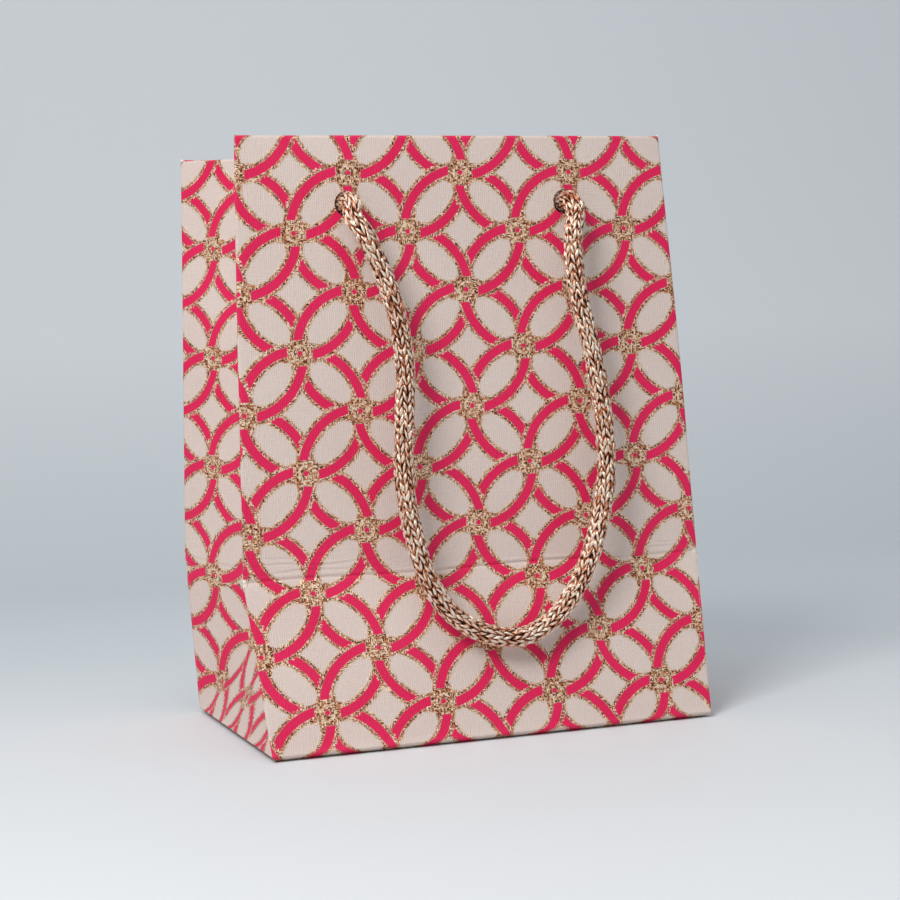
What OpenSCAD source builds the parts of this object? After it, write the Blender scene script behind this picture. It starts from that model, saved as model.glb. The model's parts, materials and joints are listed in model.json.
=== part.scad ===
// Small gift bag: one folded sheet of printed paper, card stiffeners and two knotted cord handles.
// Millimetres, +Z up, front panel towards -Y, origin under the middle of the bag.

/* [Bag] */
// Width of the bag at its base
base_w = 111; // [90:1:140]
// Depth of the base from front to back
base_d = 81; // [60:1:100]
// Width across the horizontal crease
crease_w = 114; // [90:1:145]
// Width across the mouth
mouth_w = 109; // [85:1:140]
// Height of the lower bands, measured on the paper
band_h = 42; // [36:1:50]
// Height of the upper panels, measured on the paper
panel_h = 103.2; // [90:0.2:140]

/* [Stance] */
// How far the front crease stands in from the front of the base
front_crease_in = 12.5; // [6:0.5:16]
// How far the front of the mouth stands in from the front of the base
front_mouth_in = 15.5; // [12:0.5:20]
// How far the back crease stands out from the back of the base
back_crease_out = 3; // [0:0.5:4]
// How far the back of the mouth stands in from the back of the base
back_mouth_in = 2.5; // [0:0.5:6]

/* [Gussets] */
// How far the side folds reach in at the mouth
mouth_fold_in = 26.2; // [20:0.2:30]
// How far the side folds reach in where they start, above the base
start_fold_in = 20; // [14:1:24]
// Height at which the side folds start
start_fold_z = 36; // [30:1:40]

/* [Paper and card] */
// Thickness of the embossed paper
paper_t = 0.4; // [0.3:0.05:0.6]
// Thickness of the card strips round the mouth
strip_t = 0.8; // [0.5:0.1:1.2]
// Thickness of the board on the base
board_t = 1.2; // [0.8:0.1:2]
// Depth of the paper turned in round the mouth
hem_h = 28; // [24:1:34]
// Width of the glued seam
seam_w = 11; // [8:1:15]

/* [Handles] */
// Diameter of the cord
cord_d = 5; // [4:0.5:5]
// Diameter of the punched holes
hole_d = 6.2; // [5.4:0.2:7]
// Distance between the two holes of a handle
hole_gap = 56; // [50:1:60]
// Distance of the holes below the edge of the mouth
hole_drop = 15.5; // [14:0.5:18]

/* [Hidden] */
FLAPS = ["base_front_flap", "base_back_flap", "base_left_flap", "base_right_flap"];
GUSSETS = [
    "left_gusset_front", "left_gusset_back", "left_wing_front", "left_wing_back", "left_base_triangle",
    "right_gusset_front", "right_gusset_back", "right_wing_front", "right_wing_back", "right_base_triangle"
];
MOUTH = [
    "front_hem", "back_hem", "left_hem_front", "left_hem_back", "right_hem_front", "right_hem_back",
    "front_strip", "back_strip"
];
CORDS = [
    "front_handle_cord", "back_handle_cord", "front_cord_ends", "back_cord_ends",
    "front_left_knot", "front_right_knot", "back_left_knot", "back_right_knot"
];

PRINT = "#e3256b";
PAPER = "#e8dcd2";
CARD = "#d9d4cc";
GOLD = "#c98f6b";

mouth_fold_drop = 0.6; // the side folds' middle creases end this far below the front's mouth
start_fold_y = 2.5; // and start this far behind the middle
fold_gap = 0.3; // a panel that swings stays this far above its crease
plate_gap = 0.7; // plates that meet at a fold of a gusset stay this far from it
gusset_gap = 1.5; // the side folds stay this far from the edges of the panels that swing
hem_gap = 3.5; // the layers inside the mouth stop this far from the corners
side_hem_gap = 7; // and those on the side folds stop this far from them
hem_fold_gap = 1; // and this far from the side folds' middle creases
hem_lift = 1.9; // the paper turned in on a side fold lies this far inside the outer one
mouth_gap = 0.1; // the layers inside the mouth end this far below it
band_gap = 0.2; // the front and back start this far above the floor
stack_t = paper_t + strip_t + paper_t; // panel, card strip and hem together
stub_out = 4.2; // the fixed end of the cord comes this far out of its hole
stub_in = 1.8; // and it runs this far in, to its knot
knot_r = 2.8; // middle circle of a knot's ring
knot_squeeze = 0.6; // the cord is this much thinner where it is drawn tight
knot_tilt = 12; // degrees that a tail leans outward
knot_back = 5.2; // from the hem to the middle of the knot
tail_l = 7; // from the knot to the cut end
cord_sides = 10; // flats round a swept cord
tip_share = 0.42; // the rounded tip beyond each bend, as a share of the cord's thickness

// The bag is deepest from the front of its base to its back crease, and is centred on that.
front_y = -(base_d + back_crease_out) / 2;
back_y = front_y + base_d;
front_crease_y = front_y + front_crease_in;
back_crease_y = back_y + back_crease_out;
front_mouth_y = front_y + front_mouth_in;
back_mouth_y = back_y - back_mouth_in;
front_crease_z = sqrt(band_h ^ 2 - front_crease_in ^ 2);
back_crease_z = sqrt(band_h ^ 2 - back_crease_out ^ 2);
front_lean = asin((front_mouth_y - front_crease_y) / panel_h);
back_lean = asin((back_crease_y - back_mouth_y) / panel_h);
front_mouth_z = front_crease_z + panel_h * cos(front_lean);
back_mouth_z = back_crease_z + panel_h * cos(back_lean);
mouth_fold_z = front_mouth_z - mouth_fold_drop;

hole_h = panel_h - hole_drop;

// Corners of the left side of the bag, on the outside of the paper.
front_foot = [-base_w / 2, front_y, 0];
back_foot = [-base_w / 2, back_y, 0];
front_crease = [-crease_w / 2, front_crease_y, front_crease_z];
back_crease = [-crease_w / 2, back_crease_y, back_crease_z];
front_mouth = [-mouth_w / 2, front_mouth_y, front_mouth_z];
back_mouth = [-mouth_w / 2, back_mouth_y, back_mouth_z];
fold_start = [-crease_w / 2 + start_fold_in, start_fold_y, start_fold_z];
fold_mouth = [-mouth_w / 2 + mouth_fold_in, (front_mouth_y + back_mouth_y) / 2, mouth_fold_z];

// Middle line of the front cord, from one bend in front of its hole to the other.
FRONT_ROUTE = [
    [-28, -34, 128], [-25.5, -34.5, 119], [-21.5, -35, 109], [-19, -35.5, 99], [-18, -36, 89],
    [-18.5, -36, 79], [-19.5, -36.5, 69], [-19.5, -37, 59], [-18, -37.5, 49], [-15.5, -38, 39.5],
    [-10.5, -38.5, 31], [-3, -39, 25.5], [6, -39.5, 23.5], [14, -39, 26], [20.5, -38.5, 32],
    [25.5, -38, 40], [29, -37.5, 49], [31.5, -37, 59], [32, -36.5, 69], [31.5, -36, 79],
    [30, -36, 89], [28, -35.5, 99], [26.5, -35, 109], [26.5, -34.5, 119], [28, -34, 128]
];
// Middle line of the back cord.
BACK_ROUTE = [
    [28, 44.5, 129], [26, 44.5, 120], [23, 45, 110], [21, 45.5, 100], [20, 46, 90],
    [20, 46, 80], [20.5, 46, 70], [20.5, 46, 60], [19, 46, 50], [16, 46, 41],
    [10.5, 46, 33], [3, 46, 28], [-6, 46, 26.5], [-14, 46, 29], [-20.5, 46, 35],
    [-25, 46, 43], [-28, 46, 52], [-30, 46, 62], [-30.5, 46, 72], [-30, 46, 82],
    [-29, 46, 92], [-27.5, 45.5, 102], [-26.5, 45, 111], [-27, 44.5, 120], [-28, 44.5, 129]
];

function unit(v) = v / norm(v);
function toward(a, b, d) = a + unit(b - a) * d;
function flip(p) = [-p[0], p[1], p[2]];

// A plate between two matching outlines, triangle by triangle so that it may be slightly twisted.
module plate(outer, t) {
    n = len(outer);
    normal = unit(cross(outer[1] - outer[0], outer[n - 1] - outer[0]));
    inner = [for (p = outer) p - normal * t];
    fan = [for (i = [1 : n - 2]) [0, i + 1, i]];
    fan_inner = [for (i = [1 : n - 2]) [n, n + i, n + i + 1]];
    sides = [for (i = [0 : n - 1]) each [[i, (i + 1) % n, n + (i + 1) % n], [i, n + (i + 1) % n, n + i]]];
    polyhedron(points = concat(outer, inner), faces = concat(fan, fan_inner, sides));
}

// A plate on the left side of the bag, and its mirror image on the right.
module side_plate(right, outline, t = paper_t) {
    if (right) mirror([1, 0, 0]) plate(outline, t);
    else plate(outline, t);
}

// Local frames of the panels and bands: X across, Y up the paper, Z out of the bag.
module on_front_panel() {
    translate([0, front_crease_y, front_crease_z]) rotate([90 - front_lean, 0, 0]) children();
}

module on_back_panel() {
    translate([0, back_crease_y, back_crease_z]) rotate([90 - back_lean, 0, 180]) children();
}

module on_front_band() {
    translate([0, front_y, 0]) rotate([90 - asin(front_crease_in / band_h), 0, 0]) children();
}

module on_back_band() {
    translate([0, back_y, 0]) rotate([90 + asin(back_crease_out / band_h), 0, 180]) children();
}

// A flat trapezium standing on the local X axis, t thick, its outer face depth below the frame.
module layer(low_w, high_w, low_h, high_h, t, depth = 0) {
    translate([0, 0, -depth - t]) linear_extrude(t) polygon([
        [-low_w / 2, low_h], [low_w / 2, low_h], [high_w / 2, high_h], [-high_w / 2, high_h]
    ]);
}

hole_reach = 10; // the cutter of a hole stands out this far on each side

module cord_holes() {
    for (side = [-1, 1])
        translate([side * hole_gap / 2, hole_h, -hole_reach])
            cylinder(d = hole_d, h = 2 * hole_reach, $fn = 48);
}

module swinging_panel() {
    difference() {
        layer(crease_w, mouth_w, fold_gap, panel_h, paper_t);
        cord_holes();
    }
}

module band() {
    layer(base_w, crease_w, band_gap, band_h, paper_t);
}

// One layer inside the mouth, between the corners.
module mouth_layer(t, depth) {
    layer_w = mouth_w - 2 * hem_gap;
    difference() {
        layer(layer_w, layer_w, panel_h - hem_h, panel_h - mouth_gap, t, depth);
        cord_holes();
    }
}

seam_in = 4; // the glued end of the sheet stays this far from the corner
seam_foot_shift = -2; // and a little farther below the crease, where the corner slants
seam_foot_low = 4;
seam_foot_gap = 3; // from its top to the crease

module seam(low_h, high_h) {
    translate([crease_w / 2 - seam_in - seam_w, low_h, -2 * paper_t])
        cube([seam_w, high_h - low_h, paper_t]);
}

// The paper, from the front round to the base.
module front_panel() { color(PRINT) on_front_panel() swinging_panel(); }
module back_panel() { color(PRINT) on_back_panel() swinging_panel(); }
module front_band() { color(PRINT) on_front_band() band(); }
module back_band() { color(PRINT) on_back_band() band(); }

above_start = fold_start + [0, 0, plate_gap];
function above_crease(corner) = toward(corner, fold_start, gusset_gap) + [0, 0, plate_gap];
function above_foot(corner) = toward(corner, fold_start, 2 * gusset_gap) + [0, 0, 2 * plate_gap];

module gusset_front(right) {
    color(PRINT) side_plate(right, [
        above_crease(front_crease), toward(front_mouth, fold_mouth, gusset_gap), fold_mouth, above_start
    ]);
}

module gusset_back(right) {
    color(PRINT) side_plate(right, [
        above_start, fold_mouth, toward(back_mouth, fold_mouth, gusset_gap), above_crease(back_crease)
    ]);
}

module wing_front(right) {
    color(PRINT) side_plate(right, [
        above_foot(front_foot), toward(front_crease, fold_start, gusset_gap), fold_start
    ]);
}

module wing_back(right) {
    color(PRINT) side_plate(right, [
        above_foot(back_foot), fold_start, toward(back_crease, fold_start, gusset_gap)
    ]);
}

module base_triangle(right) {
    apex = fold_start + (front_foot + back_foot - 2 * fold_start) * plate_gap / start_fold_z;
    color(PRINT) side_plate(right, [
        toward(front_foot, back_foot, gusset_gap), apex, toward(back_foot, front_foot, gusset_gap)
    ]);
}

module left_gusset_front() { gusset_front(false); }
module left_gusset_back() { gusset_back(false); }
module left_wing_front() { wing_front(false); }
module left_wing_back() { wing_back(false); }
module left_base_triangle() { base_triangle(false); }
module right_gusset_front() { gusset_front(true); }
module right_gusset_back() { gusset_back(true); }
module right_wing_front() { wing_front(true); }
module right_wing_back() { wing_back(true); }
module right_base_triangle() { base_triangle(true); }

// The base: two long flaps glued one over the other, two short flaps on them, and a loose board.
flap_in = 0.6; // the flaps start this far inside the fold lines
flap_lap = 8; // the long flaps pass the middle by this much
flap_long = base_d / 2 + flap_lap;
flap_short = 30;
flap_slant = 20;
flap_play = 1; // the upper long flap is this much narrower
side_flap_play = 4; // and the short flaps are this much narrower than the base
board_play = 5; // the board is this much smaller than the base each way

module flap(width, length, slant) {
    linear_extrude(paper_t) polygon([
        [-width / 2, 0], [width / 2, 0], [width / 2 - slant, length], [-width / 2 + slant, length]
    ]);
}

module base_front_flap() {
    color(PAPER) translate([0, front_y + flap_in, 0])
        flap(base_w - 2 * flap_in, flap_long, flap_slant);
}

module base_back_flap() {
    color(PAPER) translate([0, back_y - flap_in, paper_t]) rotate(180)
        flap(base_w - 2 * flap_in - flap_play, flap_long, flap_slant);
}

module base_side_flap(side) {
    color(PAPER) translate([side * (base_w / 2 - 2 * flap_in), (front_y + back_y) / 2, 2 * paper_t])
        rotate(side * 90) flap(base_d - side_flap_play, flap_short, flap_slant);
}

module base_left_flap() { base_side_flap(-1); }
module base_right_flap() { base_side_flap(1); }

module base_board() {
    board_w = base_w - board_play;
    board_d = base_d - board_play;
    color(CARD) translate([-board_w / 2, (front_y + back_y - board_d) / 2, 3 * paper_t])
        cube([board_w, board_d, board_t]);
}

// Round the mouth: card strips against the panels, and the paper turned in over them.
module front_strip() { color(CARD) on_front_panel() mouth_layer(strip_t, paper_t); }
module back_strip() { color(CARD) on_back_panel() mouth_layer(strip_t, paper_t); }
module front_hem() { color(PRINT) on_front_panel() mouth_layer(paper_t, paper_t + strip_t); }
module back_hem() { color(PRINT) on_back_panel() mouth_layer(paper_t, paper_t + strip_t); }

// The paper turned in along one half of a side fold.
module side_hem(right, panel_crease, panel_mouth, front) {
    drop = hem_h / norm(fold_mouth - fold_start);
    outer_top = toward(panel_mouth, fold_mouth, side_hem_gap);
    outer_low = toward(outer_top, toward(panel_crease, fold_start, side_hem_gap), hem_h);
    fold_top = toward(fold_mouth, panel_mouth, hem_fold_gap);
    fold_low = fold_top + (fold_start - fold_mouth) * drop;
    outline = front
        ? [outer_low, outer_top, fold_top, fold_low]
        : [fold_low, fold_top, outer_top, outer_low];
    normal = unit(cross(outline[1] - outline[0], outline[3] - outline[0]));
    color(PRINT) side_plate(right, [for (p = outline) p - normal * hem_lift]);
}

module left_hem_front() { side_hem(false, front_crease, front_mouth, true); }
module left_hem_back() { side_hem(false, back_crease, back_mouth, false); }
module right_hem_front() { side_hem(true, front_crease, front_mouth, true); }
module right_hem_back() { side_hem(true, back_crease, back_mouth, false); }

// The end of the sheet, glued inside the back.
module seam_foot() { translate([seam_foot_shift, 0, 0]) seam(seam_foot_low, band_h - seam_foot_gap); }
module glue_seam() { color(PAPER) on_back_panel() seam(fold_gap, panel_h - hem_h - 1); }
module glue_seam_foot() { color(PAPER) on_back_band() seam_foot(); }

// The cord: a round tube along its route, closed by a small rounded tip at each bend.
function side_of(t) = unit(cross(t, [0, 1, 0]));
function tangent(path, i) = unit(path[min(i + 1, len(path) - 1)] - path[max(i - 1, 0)]);
function ring(centre, t, r) = [
    for (k = [0 : cord_sides - 1])
        let (a = 360 * k / cord_sides)
            centre + r * (cos(a) * side_of(t) + sin(a) * cross(side_of(t), t))
];

module swept_cord(route) {
    last = len(route) - 1;
    tip = cord_d * tip_share;
    path = concat(
        [route[0] + unit(route[0] - route[1]) * tip], route,
        [route[last] + unit(route[last] - route[last - 1]) * tip]
    );
    count = len(path);
    points = [
        for (i = [0 : count - 1])
            each ring(path[i], tangent(path, i), (i == 0 || i == count - 1) ? cord_d / 4 : cord_d / 2)
    ];
    walls = [
        for (i = [0 : count - 2], k = [0 : cord_sides - 1])
            let (a = i * cord_sides + k, b = i * cord_sides + (k + 1) % cord_sides)
                each [[a, b, b + cord_sides], [a, b + cord_sides, a + cord_sides]]
    ];
    start_cap = [for (k = [1 : cord_sides - 2]) [0, k + 1, k]];
    end_first = (count - 1) * cord_sides;
    end_cap = [for (k = [1 : cord_sides - 2]) [end_first, end_first + k, end_first + k + 1]];
    polyhedron(points = points, faces = concat(walls, start_cap, end_cap));
}

// The two ends of a cord, each from its knot out through its hole.
module cord_ends() {
    for (side = [-1, 1])
        translate([side * hole_gap / 2, hole_h, -stub_in])
            cylinder(d = cord_d, h = stub_in + stub_out, $fn = 32);
}

// An overhand knot drawn up tight, with its tail.
module knot(side) {
    tight_d = cord_d - knot_squeeze;
    translate([side * hole_gap / 2, hole_h, -stack_t - knot_back]) {
        rotate([0, 90, 0]) rotate_extrude($fn = 48) translate([knot_r, 0]) circle(d = tight_d, $fn = 24);
        sphere(d = cord_d, $fn = 32);
        rotate([90, 0, side * knot_tilt]) cylinder(d = tight_d, h = tail_l + knot_r, $fn = 32);
    }
}

module front_handle_cord() { color(GOLD) swept_cord(FRONT_ROUTE); }
module back_handle_cord() { color(GOLD) swept_cord(BACK_ROUTE); }
module front_cord_ends() { color(GOLD) on_front_panel() cord_ends(); }
module back_cord_ends() { color(GOLD) on_back_panel() cord_ends(); }
module front_left_knot() { color(GOLD) on_front_panel() knot(-1); }
module front_right_knot() { color(GOLD) on_front_panel() knot(1); }
module back_left_knot() { color(GOLD) on_back_panel() knot(1); }
module back_right_knot() { color(GOLD) on_back_panel() knot(-1); }

front_panel();
back_panel();
front_band();
back_band();
left_gusset_front();
left_gusset_back();
left_wing_front();
left_wing_back();
left_base_triangle();
right_gusset_front();
right_gusset_back();
right_wing_front();
right_wing_back();
right_base_triangle();
base_front_flap();
base_back_flap();
base_left_flap();
base_right_flap();
base_board();
front_hem();
back_hem();
left_hem_front();
left_hem_back();
right_hem_front();
right_hem_back();
front_strip();
back_strip();
glue_seam();
glue_seam_foot();
front_handle_cord();
back_handle_cord();
front_cord_ends();
back_cord_ends();
front_left_knot();
front_right_knot();
back_left_knot();
back_right_knot();
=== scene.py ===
"""A small gift bag: printed linen paper folded round its gussets, with two braided metallic cord handles."""

import json
import math

import bpy
import numpy as np
from mathutils import Matrix, Vector


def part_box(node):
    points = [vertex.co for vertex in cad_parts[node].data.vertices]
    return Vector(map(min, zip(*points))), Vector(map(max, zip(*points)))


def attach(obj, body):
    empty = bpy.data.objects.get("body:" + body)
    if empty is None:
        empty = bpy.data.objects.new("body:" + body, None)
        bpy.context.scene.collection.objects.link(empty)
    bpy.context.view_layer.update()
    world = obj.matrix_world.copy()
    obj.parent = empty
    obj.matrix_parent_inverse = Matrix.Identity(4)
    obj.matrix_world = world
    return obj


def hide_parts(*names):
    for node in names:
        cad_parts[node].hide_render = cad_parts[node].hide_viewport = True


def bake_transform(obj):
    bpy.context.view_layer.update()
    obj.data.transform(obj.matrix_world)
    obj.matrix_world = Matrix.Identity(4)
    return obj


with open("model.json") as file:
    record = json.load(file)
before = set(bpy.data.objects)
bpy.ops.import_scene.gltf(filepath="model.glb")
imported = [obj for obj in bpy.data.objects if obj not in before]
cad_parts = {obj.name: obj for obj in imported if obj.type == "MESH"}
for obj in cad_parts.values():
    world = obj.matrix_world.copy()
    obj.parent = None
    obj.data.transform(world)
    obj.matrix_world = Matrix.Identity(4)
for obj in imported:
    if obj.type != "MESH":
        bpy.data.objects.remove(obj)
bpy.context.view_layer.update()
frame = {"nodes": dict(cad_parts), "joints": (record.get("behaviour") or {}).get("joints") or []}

MM = 0.001

# Sizes of the flat sheet and of the folded bag, in millimetres.
FRONT_W = 111.0
GUSSET_W = 81.0
BAND_H = 42.0
PANEL_H = 103.2
SHEET_H = BAND_H + PANEL_H
CREASE_W = 114.0
MOUTH_W = 109.0
START_FOLD_IN = 20.0
START_FOLD_Y = 2.5
START_FOLD_Z = 36.0
MOUTH_FOLD_IN = 26.2
MOUTH_FOLD_DROP = 0.6
HEM_H = 28.0
PAPER_T = 0.4
STRIP_T = 0.8
CORD_D = 5.0
HOLE_D = 6.2
HOLE_X = 28.0
HOLE_DROP = 15.5
FOLD_U = FRONT_W / 2  # the sheet folds this far round from the middle of its front
PI = math.pi


def joint(name):
    """Where a joint's axis lies, in millimetres."""
    row = next(j for j in frame["joints"] if j["name"] == name)
    return np.array(row["pos_m"]) / MM


# ---------------------------------------------------------------- camera

# Place in millimetres, angles in radians.
CAMERA_AT = (-157.1, -468.7, 84.2)
CAMERA_YAW = 0.3323
CAMERA_PITCH = -0.0339
CAMERA_ROLL = -0.0421
CAMERA_LENS = 77.6
CAMERA_SENSOR = 36.0
CAMERA_NEAR = 0.01


def make_camera():
    yaw, pitch, roll = CAMERA_YAW, CAMERA_PITCH, CAMERA_ROLL
    forward = Vector((math.sin(yaw) * math.cos(pitch), math.cos(yaw) * math.cos(pitch), math.sin(pitch)))
    level = Vector((math.cos(yaw), -math.sin(yaw), 0.0))
    upright = level.cross(forward)
    right = level * math.cos(roll) + upright * math.sin(roll)
    up = upright * math.cos(roll) - level * math.sin(roll)
    data = bpy.data.cameras.new("camera")
    data.lens = CAMERA_LENS
    data.sensor_width = CAMERA_SENSOR
    data.clip_start = CAMERA_NEAR
    camera = bpy.data.objects.new("camera", data)
    bpy.context.scene.collection.objects.link(camera)
    turn = Matrix((right, up, -forward)).transposed().to_4x4()
    camera.matrix_world = Matrix.Translation(Vector(CAMERA_AT) * MM) @ turn
    bpy.context.scene.camera = camera


make_camera()


# ---------------------------------------------------------------- shader maths


class Value:
    """A number that nodes work out, with the usual operators."""

    def __init__(self, tree, socket):
        self.tree, self.socket = tree, socket

    def math(self, operation, *others):
        node = self.tree.nodes.new("ShaderNodeMath")
        node.operation = operation
        for slot, item in enumerate((self, *others)):
            if isinstance(item, Value):
                self.tree.links.new(item.socket, node.inputs[slot])
            else:
                node.inputs[slot].default_value = item
        return Value(self.tree, node.outputs[0])

    def __add__(self, other):
        return self.math("ADD", other)

    def __sub__(self, other):
        return self.math("SUBTRACT", other)

    def __mul__(self, other):
        return self.math("MULTIPLY", other)

    def __truediv__(self, other):
        return self.math("DIVIDE", other)

    def abs(self):
        return self.math("ABSOLUTE")

    def sign(self):
        return self.math("SIGN")

    def floor(self):
        return self.math("FLOOR")

    def round(self):
        return self.math("ROUND")

    def sin(self):
        return self.math("SINE")

    def sqrt(self):
        return self.math("SQRT")

    def power(self, exponent):
        return self.math("POWER", exponent)

    def min(self, other):
        return self.math("MINIMUM", other)

    def max(self, other):
        return self.math("MAXIMUM", other)

    def clamp(self):
        return self.max(0.0).min(1.0)

    def above(self, edge, soft):
        """0 well below edge, 1 well above it, with a ramp soft wide between."""
        return ((self - edge) / soft + 0.5).clamp()

    def below(self, edge, soft):
        return self.above(edge, -soft)

    def pick(self, low, high):
        """low where this is 0, high where it is 1."""
        return low + (high - low) * self


class Shader:
    """A Principled material whose inputs are worked out by nodes."""

    def __init__(self, name, **sockets):
        self.material = bpy.data.materials.new(name)
        self.material.use_nodes = True
        self.tree = self.material.node_tree
        self.bsdf = self.tree.nodes["Principled BSDF"]
        for key, value in sockets.items():
            self.bsdf.inputs[key.replace("_", " ").title().replace("Ior", "IOR")].default_value = value

    def node(self, kind, **inputs):
        node = self.tree.nodes.new(kind)
        for key, value in inputs.items():
            socket = node.inputs[key]
            if isinstance(value, Value):
                self.tree.links.new(value.socket, socket)
            elif hasattr(value, "is_output"):
                self.tree.links.new(value, socket)
            else:
                socket.default_value = value
        return node

    def uv(self, layer):
        node = self.tree.nodes.new("ShaderNodeUVMap")
        node.uv_map = layer
        split = self.node("ShaderNodeSeparateXYZ", Vector=node.outputs[0])
        return Value(self.tree, split.outputs[0]), Value(self.tree, split.outputs[1])

    def vector(self, x, y, z=0.0):
        return self.node("ShaderNodeCombineXYZ", X=x, Y=y, Z=z).outputs[0]

    def place(self):
        return self.tree.nodes.new("ShaderNodeTexCoord").outputs["Object"]

    def noise(self, vector, scale, detail=2.0, rough=0.5):
        node = self.node("ShaderNodeTexNoise", Vector=vector, Scale=scale, Detail=detail, Roughness=rough)
        return Value(self.tree, node.outputs["Fac"])

    def scatter(self, vector):
        """A random number for each whole cell of vector."""
        cell = self.tree.nodes.new("ShaderNodeVectorMath")
        cell.operation = "FLOOR"
        self.tree.links.new(vector, cell.inputs[0])
        noise = self.node("ShaderNodeTexWhiteNoise", Vector=cell.outputs[0])
        return Value(self.tree, noise.outputs["Value"])

    def mix(self, factor, low, high):
        node = self.tree.nodes.new("ShaderNodeMix")
        node.data_type = "RGBA"
        for slot, item in ((0, factor), (6, low), (7, high)):
            if isinstance(item, Value):
                self.tree.links.new(item.socket, node.inputs[slot])
            elif hasattr(item, "is_output"):
                self.tree.links.new(item, node.inputs[slot])
            else:
                node.inputs[slot].default_value = item if slot == 0 else (*item, 1.0)
        return node.outputs[2]

    def ramp(self, factor, stops):
        node = self.node("ShaderNodeValToRGB", Fac=factor)
        elements = node.color_ramp.elements
        while len(elements) < len(stops):
            elements.new(0.5)
        for element, (position, colour) in zip(elements, stops):
            element.position = position
            element.color = (*colour, 1.0)
        return node.outputs[0]

    def set(self, name, source):
        socket = source.socket if isinstance(source, Value) else source
        self.tree.links.new(socket, self.bsdf.inputs[name])

    def bump(self, height, distance, strength=1.0):
        node = self.node("ShaderNodeBump", Height=height, Distance=distance, Strength=strength)
        self.tree.links.new(node.outputs[0], self.bsdf.inputs["Normal"])


def linear(red, green, blue):
    """An 8-bit display colour as scene-linear numbers."""
    shares = (red / 255, green / 255, blue / 255)
    return tuple(c / 12.92 if c <= 0.04045 else ((c + 0.055) / 1.055) ** 2.4 for c in shares)


# ---------------------------------------------------------------- materials

PINK = linear(233, 34, 92)
PINK_DEEP = linear(222, 24, 80)
CREAM = linear(230, 213, 203)
CREAM_ROSY = linear(226, 206, 197)
# the shaded cream is painted shade for the hollows between the embossed threads
CREAM_HOLLOW_SHADE = linear(206, 186, 177)
# the pale and dark golds are painted glints and painted dark facets of the glitter; the middle gold is the
# ink's own colour
GOLD_GLINT = linear(255, 228, 198)
GOLD = linear(209, 139, 94)
GOLD_FACET_SHADE = linear(100, 46, 22)
# the pale and dark cord colours are a painted glint and painted shade in the gaps between stitches; the rose
# is the braid's own colour
CORD_GLINT = linear(255, 242, 222)
CORD_ROSE = linear(210, 130, 88)
CORD_GAP_SHADE = linear(44, 10, 4)
PAPER_PALE = linear(240, 235, 228)
PAPER_DULL = linear(231, 224, 216)
EDGE_PALE = linear(238, 226, 218)
EDGE_DULL = linear(222, 200, 194)
BOARD_PALE = linear(214, 208, 198)
BOARD_DULL = linear(184, 177, 167)

# The lattice of the print, in millimetres on the flat sheet: rings stand on every other point of it.
HALF_REPEAT = 14.07
COLUMN_0 = -41.15
ROW_0 = 137.0

# The print itself, in half repeats.
RING_R = 1.054
BAND_HALF = 0.08
LINE_W = 0.058
LINE_FRAY = 0.05
KNOT_R = 0.2
HALO_R = 0.124
HALO_HALF = 0.018
BAND_END = 0.215
DOT_R = 0.045
EDGE_SOFT = 0.016
DRIFT = 0.03
DRIFT_SCALE = 1.2

THREAD = 0.52  # pitch of the embossed threads, in millimetres
THREAD_WANDER = 9.0  # how far a thread strays from straight, in radians of its pitch
FLAKE_LONG = 0.96  # a flake of glitter, in threads
FLAKE_SHORT = 0.46
PRINT_RELIEF = 0.14
PLAIN_RELIEF = 0.05
FIBRE_RELIEF = 0.05
CORD_RELIEF = 0.4
STITCH_SLANT = 0.8  # how far a stitch leans along the cord, in stitches
UV_PER_MM = 0.01


def linen(shader, u, v):
    """The height of the embossed threads, from 0 to 1, at u, v in millimetres."""
    wander = shader.noise(shader.vector(u * 0.35, v * 0.35), 1.0, 2.0)
    slub_up = shader.noise(shader.vector(u * 1.9, v * 0.45), 1.0, 2.0)
    slub_across = shader.noise(shader.vector(u * 0.45, v * 1.9, 7.0), 1.0, 2.0)
    turn = 2 * PI / THREAD
    stray = (wander - 0.5) * THREAD_WANDER
    warp = (u * turn + stray).sin() * 0.5 + 0.5
    weft = (v * turn + stray).sin() * 0.5 + 0.5
    warp = warp * slub_up.above(0.5, 0.35)
    weft = weft * slub_across.above(0.48, 0.35)
    grain = shader.noise(shader.vector(u, v, 3.0), 5.0, 2.0)
    return warp.max(weft * 0.7) * 0.8 + grain * 0.2


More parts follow.
